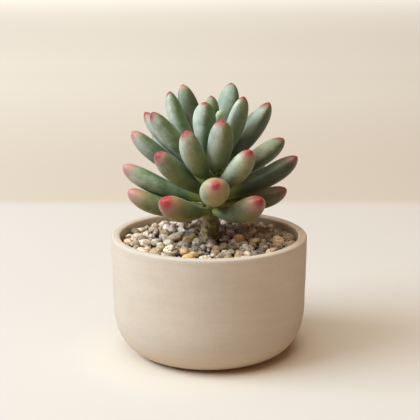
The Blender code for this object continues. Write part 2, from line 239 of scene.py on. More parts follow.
# Gravel
GRIT_TOP = 55.8 * MM         # at the pot's wall
GRIT_RISE = 1.0 * MM         # how much higher it is at the stem
GRIT_SUNK = 0.9              # mm, how far its bed lies under the pebbles' level
GRIT_ROUGH = 0.35            # mm
GRIT_FOOT = 50.3 * MM        # on the soil
GRIT_SIDES = 150
GRIT_RINGS = 60
STONES_TOP = 60.6 * MM
BED_INNER = 5.2 * MM
BED_OUTER = 44.6 * MM
PEBBLE_SEED = 5
MID_PEBBLES = 120
MID_RADIUS = (0.8 * MM, 1.6 * MM)
LARGE_PEBBLES = 174
LARGE_RADIUS = (2.0 * MM, 3.3 * MM)
LARGE_SPACING = 0.8          # least distance between two middles, as a share of both radii
STONE_LENGTH = (1.0, 1.3)    # length, width and thickness, as shares of a pebble's radius
STONE_WIDTH = (0.82, 1.0)
STONE_DEPTH = (0.78, 0.98)
STONE_TILT = 0.3             # radians
STONE_TONE = (0.75, 1.2)     # how light a pebble is, as a share of its kind's colour
SEEN_LIFT = 3.4 * MM         # height above the bed before it settles
SETTLE_STEPS = 160
SINK_STEPS = 120
SINK = 0.1 * MM             # in each step
TOUCH = 0.93                 # distance of two settled pebbles, as a share of both radii
SHOVE = 0.7                  # share of an overlap that a step undoes
SEEN_FIRM = 0.12             # how far the photo's pebbles give way, as a share of the others
GRAINS = 1500
GRAIN_RADIUS = (0.35 * MM, 0.85 * MM)
GRAIN_KINDS = ("lava", "brown", "lava", "white", "dark_granite", "beige")

# Kinds of stone: colour, and how strongly it is speckled
STONE_KINDS = {
    "cream": ((0.76, 0.62, 0.46), 0.6),
    "white": ((0.82, 0.73, 0.6), 0.7),
    "granite": ((0.8, 0.69, 0.54), 1.0),
    "dark_granite": ((0.34, 0.26, 0.18), 0.95),
    "grey": ((0.4, 0.33, 0.25), 0.5),
    "olive": ((0.34, 0.26, 0.13), 0.4),
    "beige": ((0.64, 0.47, 0.3), 0.4),
    "tan": ((0.48, 0.36, 0.2), 0.4),
    "ochre": ((0.56, 0.37, 0.13), 0.45),
    "orange": ((0.78, 0.47, 0.2), 0.15),
    "pink": ((0.64, 0.47, 0.36), 0.4),
    "brown": ((0.22, 0.17, 0.105), 0.5),
    "lava": ((0.085, 0.064, 0.045), 0.8),
}
# Stones for each side of the bed; the darker right-hand kinds are partly painted shade, where the
# plant's shadow falls.
LEFT_KINDS = ("cream", "cream", "white", "granite", "granite", "beige", "white", "cream",
              "cream", "tan", "dark_granite", "pink", "grey")
RIGHT_KINDS = ("tan", "brown", "lava", "brown", "grey", "grey", "ochre", "dark_granite",
               "olive", "brown", "dark_granite", "lava", "lava", "beige")

# Pebbles that the photo shows clearly: place on the bed, then length and width
# (all mm), and kind
SEEN_PEBBLES = (
    (-22, 10, 6.2, 4.8, "ochre"), (-11, -3, 5.2, 4.8, "orange"),
    (-12, -23, 5.2, 4.8, "orange"), (-20, -9, 6.2, 5.6, "granite"),
    (-14, -11, 5.0, 4.8, "beige"), (-7, -17, 4.4, 4.4, "dark_granite"),
    (-37, 7, 6.8, 4.2, "cream"), (-37, 20, 4.0, 3.4, "granite"),
    (-24, 34, 5.0, 4.0, "white"), (-29, 31, 3.8, 3.6, "pink"),
    (-34, 27, 3.8, 3.0, "tan"), (-19, 33, 3.6, 3.2, "white"),
    (-37, -8, 5.8, 4.0, "dark_granite"), (-28, 14, 4.8, 3.6, "pink"),
    (-27, -3, 4.6, 3.4, "white"), (-30, -17, 4.0, 3.6, "cream"),
    (-12, 23, 3.4, 2.8, "brown"), (-7, 19, 4.2, 3.8, "grey"),
    (-22, -28, 4.4, 3.0, "beige"), (-3, -14, 2.6, 3.0, "white"),
    (-31, -12, 4.0, 3.6, "dark_granite"), (-42, -1, 3.6, 3.4, "tan"),
    (-33, 13, 3.6, 3.4, "granite"), (8, -1, 5.8, 5.0, "grey"),
    (12, -8, 5.0, 4.8, "granite"), (18, -14, 3.8, 3.8, "white"),
    (19, 4, 7.0, 4.6, "brown"), (23, -5, 7.2, 4.2, "ochre"),
    (21, -17, 3.6, 2.8, "pink"), (15, -22, 4.2, 3.0, "ochre"),
    (8, -27, 5.4, 4.8, "granite"), (11, -23, 4.0, 3.4, "beige"),
    (28, 24, 5.0, 4.0, "ochre"), (33, 27, 4.4, 3.8, "tan"),
    (26, 6, 4.8, 4.4, "dark_granite"), (35, 6, 6.0, 4.8, "lava"),
    (38, 20, 5.6, 4.0, "lava"), (34, -9, 5.4, 3.6, "olive"),
    (39, -7, 4.6, 3.4, "grey"), (31, -19, 6.4, 3.2, "beige"),
    (4, -18, 5.4, 4.8, "pink"), (12, 25, 6.2, 4.0, "brown"),
    (8, 34, 3.6, 2.8, "cream"), (14, 31, 3.6, 2.8, "cream"),
    (24, 36, 4.0, 3.4, "tan"), (22, -24, 4.0, 3.4, "dark_granite"),
    (2, -28, 3.0, 2.6, "white"), (23, 25, 3.4, 2.8, "pink"),
)


class Shader:
    """A Principled material, made with short calls that add and link nodes."""

    def __init__(self, name, **values):
        self.material = bpy.data.materials.new(name)
        self.material.use_nodes = True
        self.tree = self.material.node_tree
        self.surface = self.tree.nodes["Principled BSDF"]
        self.finish(**values)

    def put(self, socket, value):
        if isinstance(value, bpy.types.NodeSocket):
            self.tree.links.new(value, socket)
        elif isinstance(value, tuple) and len(value) == 3 and socket.type == "RGBA":
            socket.default_value = value + (1,)
        else:
            socket.default_value = value

    def node(self, kind, **settings):
        made = self.tree.nodes.new("ShaderNode" + kind)
        for key, value in settings.items():
            setattr(made, key, value)
        return made

    def finish(self, **values):
        for key, value in values.items():
            self.put(self.surface.inputs[key.replace("_", " ")], value)
        return self.material

    def place(self):
        return self.node("TexCoord").outputs["Object"]

    def read(self, name, kind="Fac"):
        """A value that the mesh carries."""
        return self.node("Attribute", attribute_name=name).outputs[kind]

    def math(self, operation, *values):
        return self.fed(self.node("Math", operation=operation), dict(enumerate(values)))[0]

    def times(self, first, second):
        return self.math("MULTIPLY", first, second)

    def reach(self, x, y):
        """The distance from the pot's axis."""
        return self.math("SQRT", self.math("ADD", self.times(x, x), self.times(y, y)))

    def parts(self, vector):
        return self.fed(self.node("SeparateXYZ"), {0: vector})[:]

    def fed(self, made, inputs):
        """A node's outputs, once its inputs have their values or links."""
        for key, value in inputs.items():
            self.put(made.inputs[key], value)
        return made.outputs

    def vector(self, operation, first, second):
        return self.fed(self.node("VectorMath", operation=operation), {0: first, 1: second})[0]

    def scaled(self, vector, amount):
        made = self.node("VectorMath", operation="SCALE")
        return self.fed(made, {0: vector, "Scale": amount})[0]

    def noise(self, vector, scale, detail=2.0, roughness=0.5):
        return self.fed(self.node("TexNoise"), {"Vector": vector, "Scale": scale, "Detail": detail,
                                                "Roughness": roughness})["Fac"]

    def cells(self, vector, scale, output="Distance"):
        return self.fed(self.node("TexVoronoi"), {"Vector": vector, "Scale": scale})[output]

    def span(self, value, low, high, first=0.0, last=1.0):
        """Map a value from low..high to first..last, smoothly and clamped."""
        made = self.node("MapRange", interpolation_type="SMOOTHSTEP")
        return self.fed(made, {"Value": value, "From Min": low, "From Max": high,
                               "To Min": first, "To Max": last})["Result"]

    def mix(self, share, first, second):
        return self.fed(self.node("Mix", data_type="RGBA"), {0: share, 6: first, 7: second})[2]

    def bump(self, height, depth, below=None):
        values = {"Height": height, "Strength": 1.0, "Distance": depth}
        if below is not None:
            values["Normal"] = below
        return self.fed(self.node("Bump"), values)["Normal"]


ATTRIBUTE_KINDS = {          # by how many numbers each point has
    1: ("FLOAT", "value"), 3: ("FLOAT_VECTOR", "vector"), 4: ("FLOAT_COLOR", "color"),
}


def add_piece(name, verts, faces, look, slot, replaced, **attributes):
    """A smooth mesh that rides on the part and may stand for a CAD node of it."""
    mesh = bpy.data.meshes.new(name)
    mesh.from_pydata([tuple(v) for v in verts], [], [tuple(f) for f in faces])
    for key, values in attributes.items():
        values = np.asarray(values, np.float32).ravel()
        kind, target = ATTRIBUTE_KINDS[len(values) // len(verts)]
        mesh.attributes.new(key, kind, "POINT").data.foreach_set(target, values)
    mesh.shade_smooth()
    mesh.materials.append(look)
    piece = bpy.data.objects.new(name, mesh)
    bpy.context.scene.collection.objects.link(piece)
    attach(piece, "root")
    if replaced:
        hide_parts(replaced)


def ramp(value, low, high):
    """0 up to low, 1 from high on, and even between them."""
    return min(1.0, max(0.0, (value - low) / (high - low)))


def between(table, height):
    """The table's value at a height, even between its rows."""
    for (low, first), (high, last) in zip(table, table[1:]):
        if height <= high:
            return first + (last - first) * ramp(height, low, high)
    return table[-1][1]


def rounded(turn, power):
    """A point on a unit curve: 1 is a diamond, 2 a circle and more is squarer."""
    c, s = math.cos(turn), math.sin(turn)
    return (math.copysign(abs(c) ** (2 / power), c), math.copysign(abs(s) ** (2 / power), s))


def tube_faces(sides, rings):
    """Faces of a closed tube: ring after ring, then a start and an end point."""
    start, end = sides * rings, sides * rings + 1
    faces = []
    for i in range(rings - 1):
        for j in range(sides):
            k = (j + 1) % sides
            faces.append((i * sides + j, i * sides + k, (i + 1) * sides + k, (i + 1) * sides + j))
    last = (rings - 1) * sides
    for j in range(sides):
        k = (j + 1) % sides
        faces.append((k, j, start))
        faces.append((last + j, last + k, end))
    return faces


# Leaves

def girth(along, tip):
    """A leaf's girth at a share of its length, as a share of its widest part's."""
    full, pointed = tip
    body = math.sin(math.pi / 2 * min(1.0, along / LEAF_FATTEST)) ** 1.3
    body = LEAF_NECK + (1 - LEAF_NECK) * body
    past = ramp(along, LEAF_FATTEST, 1)
    return body * (1 - past ** full) ** pointed


def heading(slope, bearing):
    """The way that a leaf grows, with 0 for the front as its bearing."""
    return Vector((math.sin(bearing) * math.cos(slope), -math.cos(bearing) * math.cos(slope),
                   math.sin(slope)))


def leaf_path(rise, bend, turn, length):
    """Points on a leaf's middle line: place, share of the length, slope and bearing."""
    point = Vector((0, 0, 0))
    path = []
    for i in range(PATH_STEPS + 1):
        along = i / PATH_STEPS
        slope = math.radians(rise + bend * (along - 0.5))
        bearing = math.radians(turn * (along - 0.3))
        path.append((point.copy(), along, slope, bearing))
        point += heading(slope, bearing) * (length / PATH_STEPS)
    return path


def stem_axis(height):
    return Vector((STEM_LEAN * max(0.0, height - STEM_BEND), 0, height))


def leaf_base(values):
    """Where a leaf's middle line starts, just outside the stem."""
    rise, bend, depth, height = values[1], values[2], values[6] * MM, values[7] * MM
    if len(values) > 8:
        return Vector((values[8] * MM, values[9] * MM, height))
    bearing = math.radians(values[0])
    seat = abs(math.sin(math.radians(rise - bend / 2)))
    out = between(STEM_RADII, height) + SEAT + PART_NECK * depth / 2 * seat
    return stem_axis(height) + out * heading(0, bearing)


def facing_lamp(verts, sides, rings):
    """How much each point of a closed tube faces the key lamp, -1 to 1, for painted light and
    shade.
    """
    grid = np.array([tuple(v) for v in verts]).reshape(rings, sides, 3)
    around = np.roll(grid, -1, 1) - np.roll(grid, 1, 1)
    normal = np.cross(around, np.gradient(grid, axis=0))
    normal /= np.linalg.norm(normal, axis=2, keepdims=True) + 1e-12
    return [*(normal @ np.array(KEY_LAMP_WAY)).ravel(), 0, 0]


def make_leaf(name, values, look, slot, tip_form):
    """A plump leaf, flatter above, softly keeled below, with a small point."""
    looks = LOOKS.get(name, PLAIN)
    light, deep, keel = looks[5:]
    length, width, depth = (value * MM for value in values[4:7])
    length *= LEAF_REACH
    mucro = 0 if tip_form is BUD_TIP else MUCRO_LENGTH
    seed = random.Random(name).uniform(0, 100)
    path = leaf_path(*values[1:4], length)
    spin = Matrix.Rotation(math.radians(values[0]), 3, "Z")
    base = leaf_base(values)
    verts, tips, spots, bases, lights, unders = [], [], [], [], [], []
    for i in range(LEAF_RINGS):
        share = 1 - (1 - i / LEAF_RINGS) ** LEAF_CROWDING
        point, along, slope, bearing = path[round(share * PATH_STEPS)]
        side = Vector((math.cos(bearing), math.sin(bearing), 0))
        up = side.cross(heading(slope, bearing))
        if up.z < 0:
            up.negate()
        to_tip = length * (1 - along)
        body = girth(along * length / (length - mucro), tip_form) * LEAF_FIT / 2
        point_size = MUCRO_RADIUS * min(1.0, to_tip / mucro) ** 0.6 if mucro else 0
        foot = ramp(to_tip / MM, LIGHT_FROM, LIGHT_TO)
        form = keel * ramp(along, KEEL_FROM, KEEL_TO)
        for j in range(LEAF_SIDES):
            turn = 2 * math.pi * j / LEAF_SIDES
            over = math.sin(turn) > 0
            x, y = rounded(turn, 2 - (KEEL_ABOVE if over else KEEL_BELOW) * form)
            swell = 1 + LEAF_WAVES * noise.noise(Vector((x * 1.3 + seed, y * 1.3, along * 3.1)))
            swell += LEAF_DENTS * noise.noise(Vector((x * 5 + seed, y * 5, along * 6)))
            x = max(width * body * swell, point_size) * x
            y = max(depth * body * swell * (LEAF_TOP if over else 1.0), point_size) * y
            verts.append(base + spin @ (point + x * side + y * up))
            under = -math.sin(turn)
            unders.append(under)
            tips.append(math.sqrt((TIP_LONG * to_tip) ** 2 + (TIP_WIDE * x) ** 2 + y * y) / MM
                        - TIP_UNDER * max(0.0, under))
            # Partly painted shade: each leaf's lightness, lower where it lies in the shadow of
            # other leaves, changing towards its foot.
            lights.append(light * (1 + (deep - 1) * foot))
            spots.append((x / MM, y / MM + seed, along * length / MM))
            bases.append(along * length / MM)
    # Painted light: how much each point faces the key lamp, which the material paints lighter.
    sunny = facing_lamp(verts, LEAF_SIDES, LEAF_RINGS)
    verts += [base + spin @ path[0][0], base + spin @ path[-1][0]]
    tips += [length / MM, 0]
    lights += [lights[0], light]
    unders += [0, 0]
    spots += [(0, seed, 0), (0, seed, length / MM)]
    bases += [0, length / MM]
    same = {key: [value] * len(verts)
            for key, value in zip(("core", "blush", "dull", "olive", "bloom_and_painted_light"), looks)}
    add_piece(name + "_skin", verts, tube_faces(LEAF_SIDES, LEAF_RINGS), look, slot, name,
              tip=tips, spot=spots, base=bases, sunny=sunny, light=lights, under=unders, **same)


def leaf_material():
    """Green skin under pale powder, with a red tip; the powder is painted thicker on the side
    facing the key lamp and the green darker away from it, as painted light and shade.
    """
    m = Shader("leaf_skin", Roughness=0.55, Specular_IOR_Level=0.35, Sheen_Weight=0.2,
               Sheen_Roughness=0.3, Sheen_Tint=(0.92, 0.97, 0.92, 1), Subsurface_Weight=0.05,
               Subsurface_Scale=2 * MM, Subsurface_Radius=(1.0, 1.0, 0.5))
    spot = m.read("spot", "Vector")
    tip, base = m.read("tip"), m.read("base")
    streaks = m.noise(m.vector("MULTIPLY", spot, (1, 1, 0.22)), 0.55, 4, 0.6)
    patches = m.noise(spot, 0.16, 3)
    fine = m.noise(spot, 1.9, 3, 0.6)
    uneven = m.math("ADD", m.times(streaks, 0.5), m.times(patches, 0.5))
    uneven = m.math("MULTIPLY_ADD", fine, 0.5, m.math("SUBTRACT", uneven, 0.75))
    sunny = m.math("MULTIPLY_ADD", uneven, 0.9, m.read("sunny"))
    rings = m.noise(m.vector("MULTIPLY", spot, (0.12, 0.12, 1.2)), 1.0, 2)
    sunny = m.math("MULTIPLY_ADD", m.math("SUBTRACT", rings, 0.5), 0.13, sunny)
    # Painted light and shade: the pale powder is thicker where the leaf faces the key lamp, so that
    # side is lighter and the far side darker green.
    bloom_and_painted_light = m.times(m.span(sunny, -0.2, 0.9), m.read("bloom_and_painted_light"))
    olive = m.times(m.read("olive"), m.span(patches, 0.3, 0.6, 0.45, 1.0))
    olive = m.times(olive, m.span(m.read("under"), 0.1, 0.95, 0.45, 1.0))
    bare = m.mix(olive, SKIN, OLIVE)
    dusted = m.mix(m.times(olive, 0.5), BLOOM, OLIVE)
    colour = m.mix(bloom_and_painted_light, bare, dusted)
    colour = m.scaled(colour, m.read("light"))
    upper = m.span(m.read("under"), 0.1, -0.7)
    colour = m.mix(upper, colour, m.vector("MULTIPLY", colour, (0.91, 1.02, 1.0)))
    mottled = m.math("MULTIPLY_ADD", fine, 0.5, patches)
    colour = m.scaled(colour, m.span(mottled, 0.5, 1.0, 0.8, 1.16))
    # Painted shade: darker near each leaf's foot, most on its under-side, where the leaves shade
    # each other.
    shaded = m.span(m.read("under"), -0.9, 0.3, 0.15, 1.0)
    colour = m.mix(m.times(m.span(base, 5, 19, 0.8, 0.0), shaded), colour, SHADE_BETWEEN_LEAVES)
    colour = m.mix(m.span(base, 3, 17, 0.8, 0.0), colour, m.mix(shaded, UPPER, colour))
    colour = m.mix(m.span(base, 3, 11, 0.9, 0.0), colour, FOOT)

    # The tip's colours reach further on the side facing the key lamp.
    near = m.math("MULTIPLY_ADD", m.noise(spot, 0.5, 3), 1.6, m.math("SUBTRACT", tip, 0.8))
    near = m.math("MULTIPLY_ADD", m.read("sunny"), -0.9, near)
    near = m.math("MAXIMUM", near, 0.0)
    dull = m.read("dull")
    blush = m.math("DIVIDE", near, m.read("blush"))
    core = m.math("DIVIDE", near, m.read("core"))
    halo = m.mix(m.read("olive"), TIP_BLUSH, TIP_PEACH)
    colour = m.mix(m.span(blush, 0.3, 1.15, 0.8, 0.0), colour, m.mix(dull, halo, TIP_BROWN))
    pale = m.times(dull, -1.0)
    pink = m.mix(pale, m.mix(dull, TIP_PINK, TIP_BROWN), TIP_BLUSH)
    red = m.mix(pale, m.mix(dull, TIP_RED, TIP_DULL), TIP_PALE)
    colour = m.mix(m.span(core, 0.7, 1.7, 0.75, 0.0), colour, pink)
    colour = m.mix(m.span(core, 0.35, 1.15, 1.0, 0.0), colour, red)

    # A few brown freckles
    dots = m.cells(spot, 0.24)
    chosen = m.span(m.cells(spot, 0.24, "Color"), 0.52, 0.56)
    dots = m.times(m.span(dots, 0.05, 0.1, 0.65, 0.0), chosen)
    colour = m.mix(dots, colour, FRECKLE)
    grains = m.bump(m.noise(spot, 5.5, 2), 0.02 * MM)
    return m.finish(Base_Color=colour, Normal=grains,
                    Roughness=m.times(m.span(bloom_and_painted_light, 0.0, 0.8, 0.45, 0.62),
                                     m.span(blush, 0.2, 1.0, 0.8, 1.0)))


def bud_material():
    m = Shader("bud_skin", Roughness=0.5, Sheen_Weight=0.25, Subsurface_Weight=0.2,
               Subsurface_Scale=2 * MM, Subsurface_Radius=(1.0, 1.0, 0.4))
    spot = m.read("spot", "Vector")
    patches = m.noise(spot, 0.3, 3)
    colour = m.mix(m.span(patches, 0.35, 0.65), (0.3, 0.37, 0.21), (0.24, 0.31, 0.16))
    # Painted light: paler where the bud faces the key lamp.
    colour = m.mix(m.span(m.read("sunny"), -0.2, 0.8), colour, (0.34, 0.41, 0.26))
    return m.finish(Base_Color=colour, Normal=m.bump(m.noise(spot, 5, 2), 0.02 * MM))


# Pot

def belly(foot, wall, low, high, steps):
    """The rounded lower part, from the foot's radius out to the wall's."""
    power = 2 / BELLY_POWER
    points = []
    for i in range(steps + 1):
        turn = math.pi / 2 * i / steps
        points.append((foot + (wall - foot) * math.sin(turn) ** power,
                       low + (high - low) * (1 - math.cos(turn) ** power)))
    return points


def pot_profile():
    """Radius and height, from under the middle, out, up and back in to the floor."""
    radius = POT_WIDTH / 2
    lip_base = POT_HEIGHT - WALL / 2
    outside = radius - WALL_TAPER
    profile = [(0, FOOT_RECESS), (FOOT_RADIUS - FOOT_RING - FOOT_SLOPE, FOOT_RECESS),
               (FOOT_RADIUS - FOOT_RING, 0)]
    profile += belly(FOOT_RADIUS, outside, 0, BELLY_HEIGHT, BELLY_STEPS)
    for i in range(1, WALL_STEPS):
        share = i / WALL_STEPS
        rounded_out = WALL_TAPER * (1 - (1 - share) ** 1.6)
        profile.append((outside + rounded_out, BELLY_HEIGHT + (lip_base - BELLY_HEIGHT) * share))
    for i in range(LIP_STEPS + 1):
        across, up = rounded(math.pi * i / LIP_STEPS, LIP_POWER)
        profile.append((radius - WALL / 2 + WALL / 2 * across, lip_base + WALL / 2 * up))
    inside = belly(FOOT_RADIUS - WALL / 2, outside - WALL, FLOOR, BELLY_HEIGHT + WALL / 2,
                   INSIDE_STEPS)
    return profile + inside[::-1] + [(0, FLOOR)]


def make_pot(look):
    profile = pot_profile()
    verts = []
    for radius, height in profile[1:-1]:
        for j in range(POT_SIDES):
            turn = 2 * math.pi * j / POT_SIDES
            mark = math.sin(height / THROW_WAVE + 0.6 * math.sin(turn) + 0.4 * math.cos(2 * turn))
            inset = THROW_MARK * (1 - mark) if BELLY_HEIGHT < height < POT_HEIGHT - WALL / 2 else 0
            r = radius - inset if radius > POT_WIDTH / 2 - WALL else radius
            verts.append((r * math.cos(turn), r * math.sin(turn), height))
    verts += [(0, 0, profile[0][1]), (0, 0, profile[-1][1])]
    add_piece("pot_stoneware", verts, tube_faces(POT_SIDES, len(profile) - 2), look, "pot", "pot")


def pot_material():
    """Matt clay with fine specks, warmer near the foot, greyed on the lip's outer top as painted
    shade and lighter on the inner wall below the lip as painted light.
    """
    m = Shader("stoneware", Roughness=0.85)
    place = m.place()
    broad = m.noise(place, 28, 3)
    bands = m.noise(m.vector("MULTIPLY", place, (1, 1, 6)), 60, 3)
    grain = m.noise(place, 1500, 4, 0.7)
    specks = m.cells(place, 900)
    colour = m.mix(m.span(broad, 0.35, 0.65), (0.545, 0.463, 0.372), (0.51, 0.43, 0.336))
    colour = m.mix(m.span(bands, 0.35, 0.7, 0.0, 0.2), colour, (0.62, 0.54, 0.45))
    colour = m.mix(m.span(grain, 0.35, 0.72, 0.0, 0.35), colour, (0.44, 0.365, 0.285))
    chosen = m.span(m.cells(place, 900, "Color"), 0.55, 0.6)
    dots = m.times(m.span(specks, 0.12, 0.3, 0.3, 0.0), chosen)
    colour = m.mix(dots, colour, (0.33, 0.26, 0.19))
    rough = m.bump(grain, 0.05 * MM)
    x, y, height = m.parts(place)
    low = m.span(height, 2 * MM, 20 * MM, 0.6, 0.0)
    colour = m.mix(low, colour, (0.64, 0.5, 0.345))
    reach = m.reach(x, y)
    # Painted shade: the outer top of the lip is greyed, to darken what the top lamp lights there.
    lip = m.times(m.span(height, 59.0 * MM, 60.4 * MM, 0.0, 0.62),
                  m.span(reach, 45.6 * MM, 46.8 * MM))
    colour = m.mix(lip, colour, (0.365, 0.34, 0.315))
    # Painted light: the inner wall just under the lip is lightened where it lies in shade.
    inner = m.times(m.span(height, 52 * MM, 59 * MM, 0.0, 0.6),
                    m.span(reach, 46.6 * MM, 45.8 * MM))
    colour = m.mix(inner, colour, (0.6, 0.56, 0.48))
    return m.finish(Base_Color=colour, Normal=m.bump(m.noise(place, 380, 3), 0.06 * MM, rough),
                    Roughness=m.span(grain, 0.3, 0.7, 0.78, 0.92))


# Soil and gravel

def soil_material():
    m = Shader("damp_soil", Roughness=0.95)
    place = m.place()
    crumbs = m.noise(place, 900, 5, 0.7)
    colour = m.mix(m.span(crumbs, 0.35, 0.65), (0.035, 0.024, 0.016), (0.13, 0.09, 0.06))
    return m.finish(Base_Color=colour, Normal=m.bump(crumbs, 0.6 * MM))


def unit_ball(subdivisions):
    """Points and faces of a round ball."""
    bm = bmesh.new()
    bmesh.ops.create_icosphere(bm, subdivisions=subdivisions, radius=1)
    bm.verts.ensure_lookup_table()
    points = np.array([v.co for v in bm.verts])
    faces = np.array([[v.index for v in f.verts] for f in bm.faces])
    bm.free()
    return points, faces


def stone_form(points, rng, facets, uneven):
    """Round points made into a worn stone: a few flattened sides and a slight unevenness."""
    form = points.copy()
    for _ in range(facets):
        way = Vector([rng.gauss(0, 1) for _ in range(3)]).normalized()
        over = form @ np.array(way) - rng.uniform(0.62, 0.86)
        form -= np.outer(np.maximum(over, 0) * 0.8, np.array(way))
    swell = np.ones(len(points))
    for _ in range(5):
        wave = np.array([rng.gauss(0, 1.9) for _ in range(3)])
        swell += uneven * np.sin(points @ wave + rng.uniform(0, 6.3))
    return form * swell[:, None]


def bed_height(x, y):
    """The bed is a very low mound."""
    return GRIT_TOP + GRIT_RISE * (1 - (x * x + y * y) / BED_OUTER ** 2)


def settled(stones):
    """Let round stones (x, y, z, radius, seen) sink and push each other apart."""
    spots = np.array([s[:3] for s in stones])
    radii = np.array([s[3] for s in stones])
    firm = np.array([SEEN_FIRM if s[4] else 1.0 for s in stones])
    weight = firm[:, None] / (firm[:, None] + firm[None, :])
    reach = (radii[:, None] + radii[None, :]) * TOUCH
    for step in range(SETTLE_STEPS):
        spots[:, 2] -= SINK if step < SINK_STEPS else 0
        apart = spots[:, None, :] - spots[None, :, :]
        far = np.sqrt((apart ** 2).sum(2)) + 1e-9
        overlap = np.maximum(reach - far, 0)
        np.fill_diagonal(overlap, 0)
        push = apart / far[:, :, None] * (overlap * weight * SHOVE)[:, :, None]
        spots += push.sum(1)
        ground = bed_height(spots[:, 0], spots[:, 1])
        spots[:, 2] = np.clip(spots[:, 2], ground + radii * 0.3, STONES_TOP - radii * 0.9)
        out = np.hypot(spots[:, 0], spots[:, 1]) + 1e-9
        held = np.clip(out, BED_INNER + radii, BED_OUTER - radii * 1.05)
        spots[:, :2] *= (held / out)[:, None]
    return spots


def stone_turn(rng, turn=None):
    """Lying nearly flat, turned any way."""
    lean = (Matrix.Rotation(rng.gauss(0, STONE_TILT), 3, "X")
            @ Matrix.Rotation(rng.gauss(0, STONE_TILT), 3, "Y"))
    spin = Matrix.Rotation(rng.uniform(0, 2 * math.pi) if turn is None else turn, 3, "Z")
    return np.array(lean @ spin)


def random_kind(x, rng):
    """Pale stones lie more to the left, brown and dark ones more to the right, partly as painted
    shade where the plant's shadow falls on the right.
    """
    right = rng.uniform(-0.5, 0.5) + x / (2 * BED_OUTER) > 0
    return rng.choice(RIGHT_KINDS if right else LEFT_KINDS)


def stone_piece(name, stones, ball, look, replaced):
    """One mesh of many stones: (place, sizes, turn, kind, facets, uneven) each."""
    points, faces = ball
    rng = random.Random(name)
    verts, tris, colours, speckles, seeds, aboves = [], [], [], [], [], []
    for i, (place, sizes, turn, kind, facets, uneven) in enumerate(stones):
        form = stone_form(points, rng, facets, uneven) * np.array(sizes)
        lying = form @ turn.T
        verts.append(lying + np.array(place))
        aboves.append(lying[:, 2] / np.abs(lying[:, 2]).max())
        tris.append(faces + i * len(points))
        tone, speckle = STONE_KINDS[kind]
        light = rng.uniform(*STONE_TONE)
        hue = [light * c * rng.uniform(0.95, 1.05) for c in tone]
        colours.append(np.tile(hue + [1.0], (len(points), 1)))
        speckles.append(np.full(len(points), speckle))
        seeds.append(np.full(len(points), rng.uniform(0, 50)))
    verts, tris, colours, speckles, aboves, seeds = (
        np.concatenate(rows) for rows in (verts, tris, colours, speckles, aboves, seeds))
    add_piece(name, verts, tris, look, "gravel", replaced,
              stone=colours, speckle=speckles, above=aboves, seed=seeds)


def random_spot(rng, margin):
    """A place on the bed, evenly drawn, a margin or more from its edges."""
    out = math.sqrt(rng.uniform((BED_INNER + margin) ** 2, (BED_OUTER - margin) ** 2))
    turn = rng.uniform(0, 2 * math.pi)
    return out * math.cos(turn), out * math.sin(turn)


def loose_pebbles(rng):
    """Each pebble before it settles: x, y, z, radius, whether the photo shows it
    clearly, kind, and length and width (mm) if it does."""
    loose = []
    for x, y, long, wide, kind in SEEN_PEBBLES:
        height = bed_height(x * MM, y * MM) + SEEN_LIFT
        loose.append((x * MM, y * MM, height, (long + wide) / 4 * MM, True, kind, (long, wide)))
    taken = [(s[0], s[1], s[3]) for s in loose]
    while len(loose) < LARGE_PEBBLES + MID_PEBBLES:
        large = len(loose) < LARGE_PEBBLES
        radius = rng.uniform(*(LARGE_RADIUS if large else MID_RADIUS))
        x, y = random_spot(rng, radius)
        if large and any(math.hypot(x - u, y - v) < LARGE_SPACING * (radius + r)
                         for u, v, r in taken):
            continue
        if large:
            taken.append((x, y, radius))
        height = bed_height(x, y) + rng.uniform(1, 4) * MM
        loose.append((x, y, height, radius, False, random_kind(x, rng), None))
    return loose


def make_gravel(look):
    rng = random.Random(PEBBLE_SEED)
    loose = loose_pebbles(rng)
    large, small = [], []
    for place, (_, _, _, radius, seen, kind, sizes) in zip(settled(loose), loose):
        if seen:
            long, wide = sizes
            sizes = (long / 2 * MM, wide / 2 * MM, wide / 2 * rng.uniform(0.85, 1.0) * MM)
            turn = stone_turn(rng, rng.uniform(-0.4, 0.4))
        else:
            sizes = [radius * rng.uniform(*share)
                     for share in (STONE_LENGTH, STONE_WIDTH, STONE_DEPTH)]
            turn = stone_turn(rng)
        stone = (place, sizes, turn, kind, rng.randint(0, 3), rng.uniform(0.015, 0.045))
        (large if radius > MID_RADIUS[1] * 0.9 else small).append(stone)
    stone_piece("pebbles_large", large, unit_ball(4), look, "gravel")
    stone_piece("pebbles_small", small, unit_ball(3), look, None)

    grains = []
    for _ in range(GRAINS):
        radius = rng.uniform(*GRAIN_RADIUS)
        x, y = random_spot(rng, 0)
        place = (x, y, bed_height(x, y) + rng.uniform(-0.7, 1.0) * MM)
        kind = rng.choice(GRAIN_KINDS)
        sizes = (radius, radius * 0.85, radius * 0.75)
        grains.append((place, sizes, stone_turn(rng), kind, 2, 0.05))
    stone_piece("grit_grains", grains, unit_ball(2), look, None)


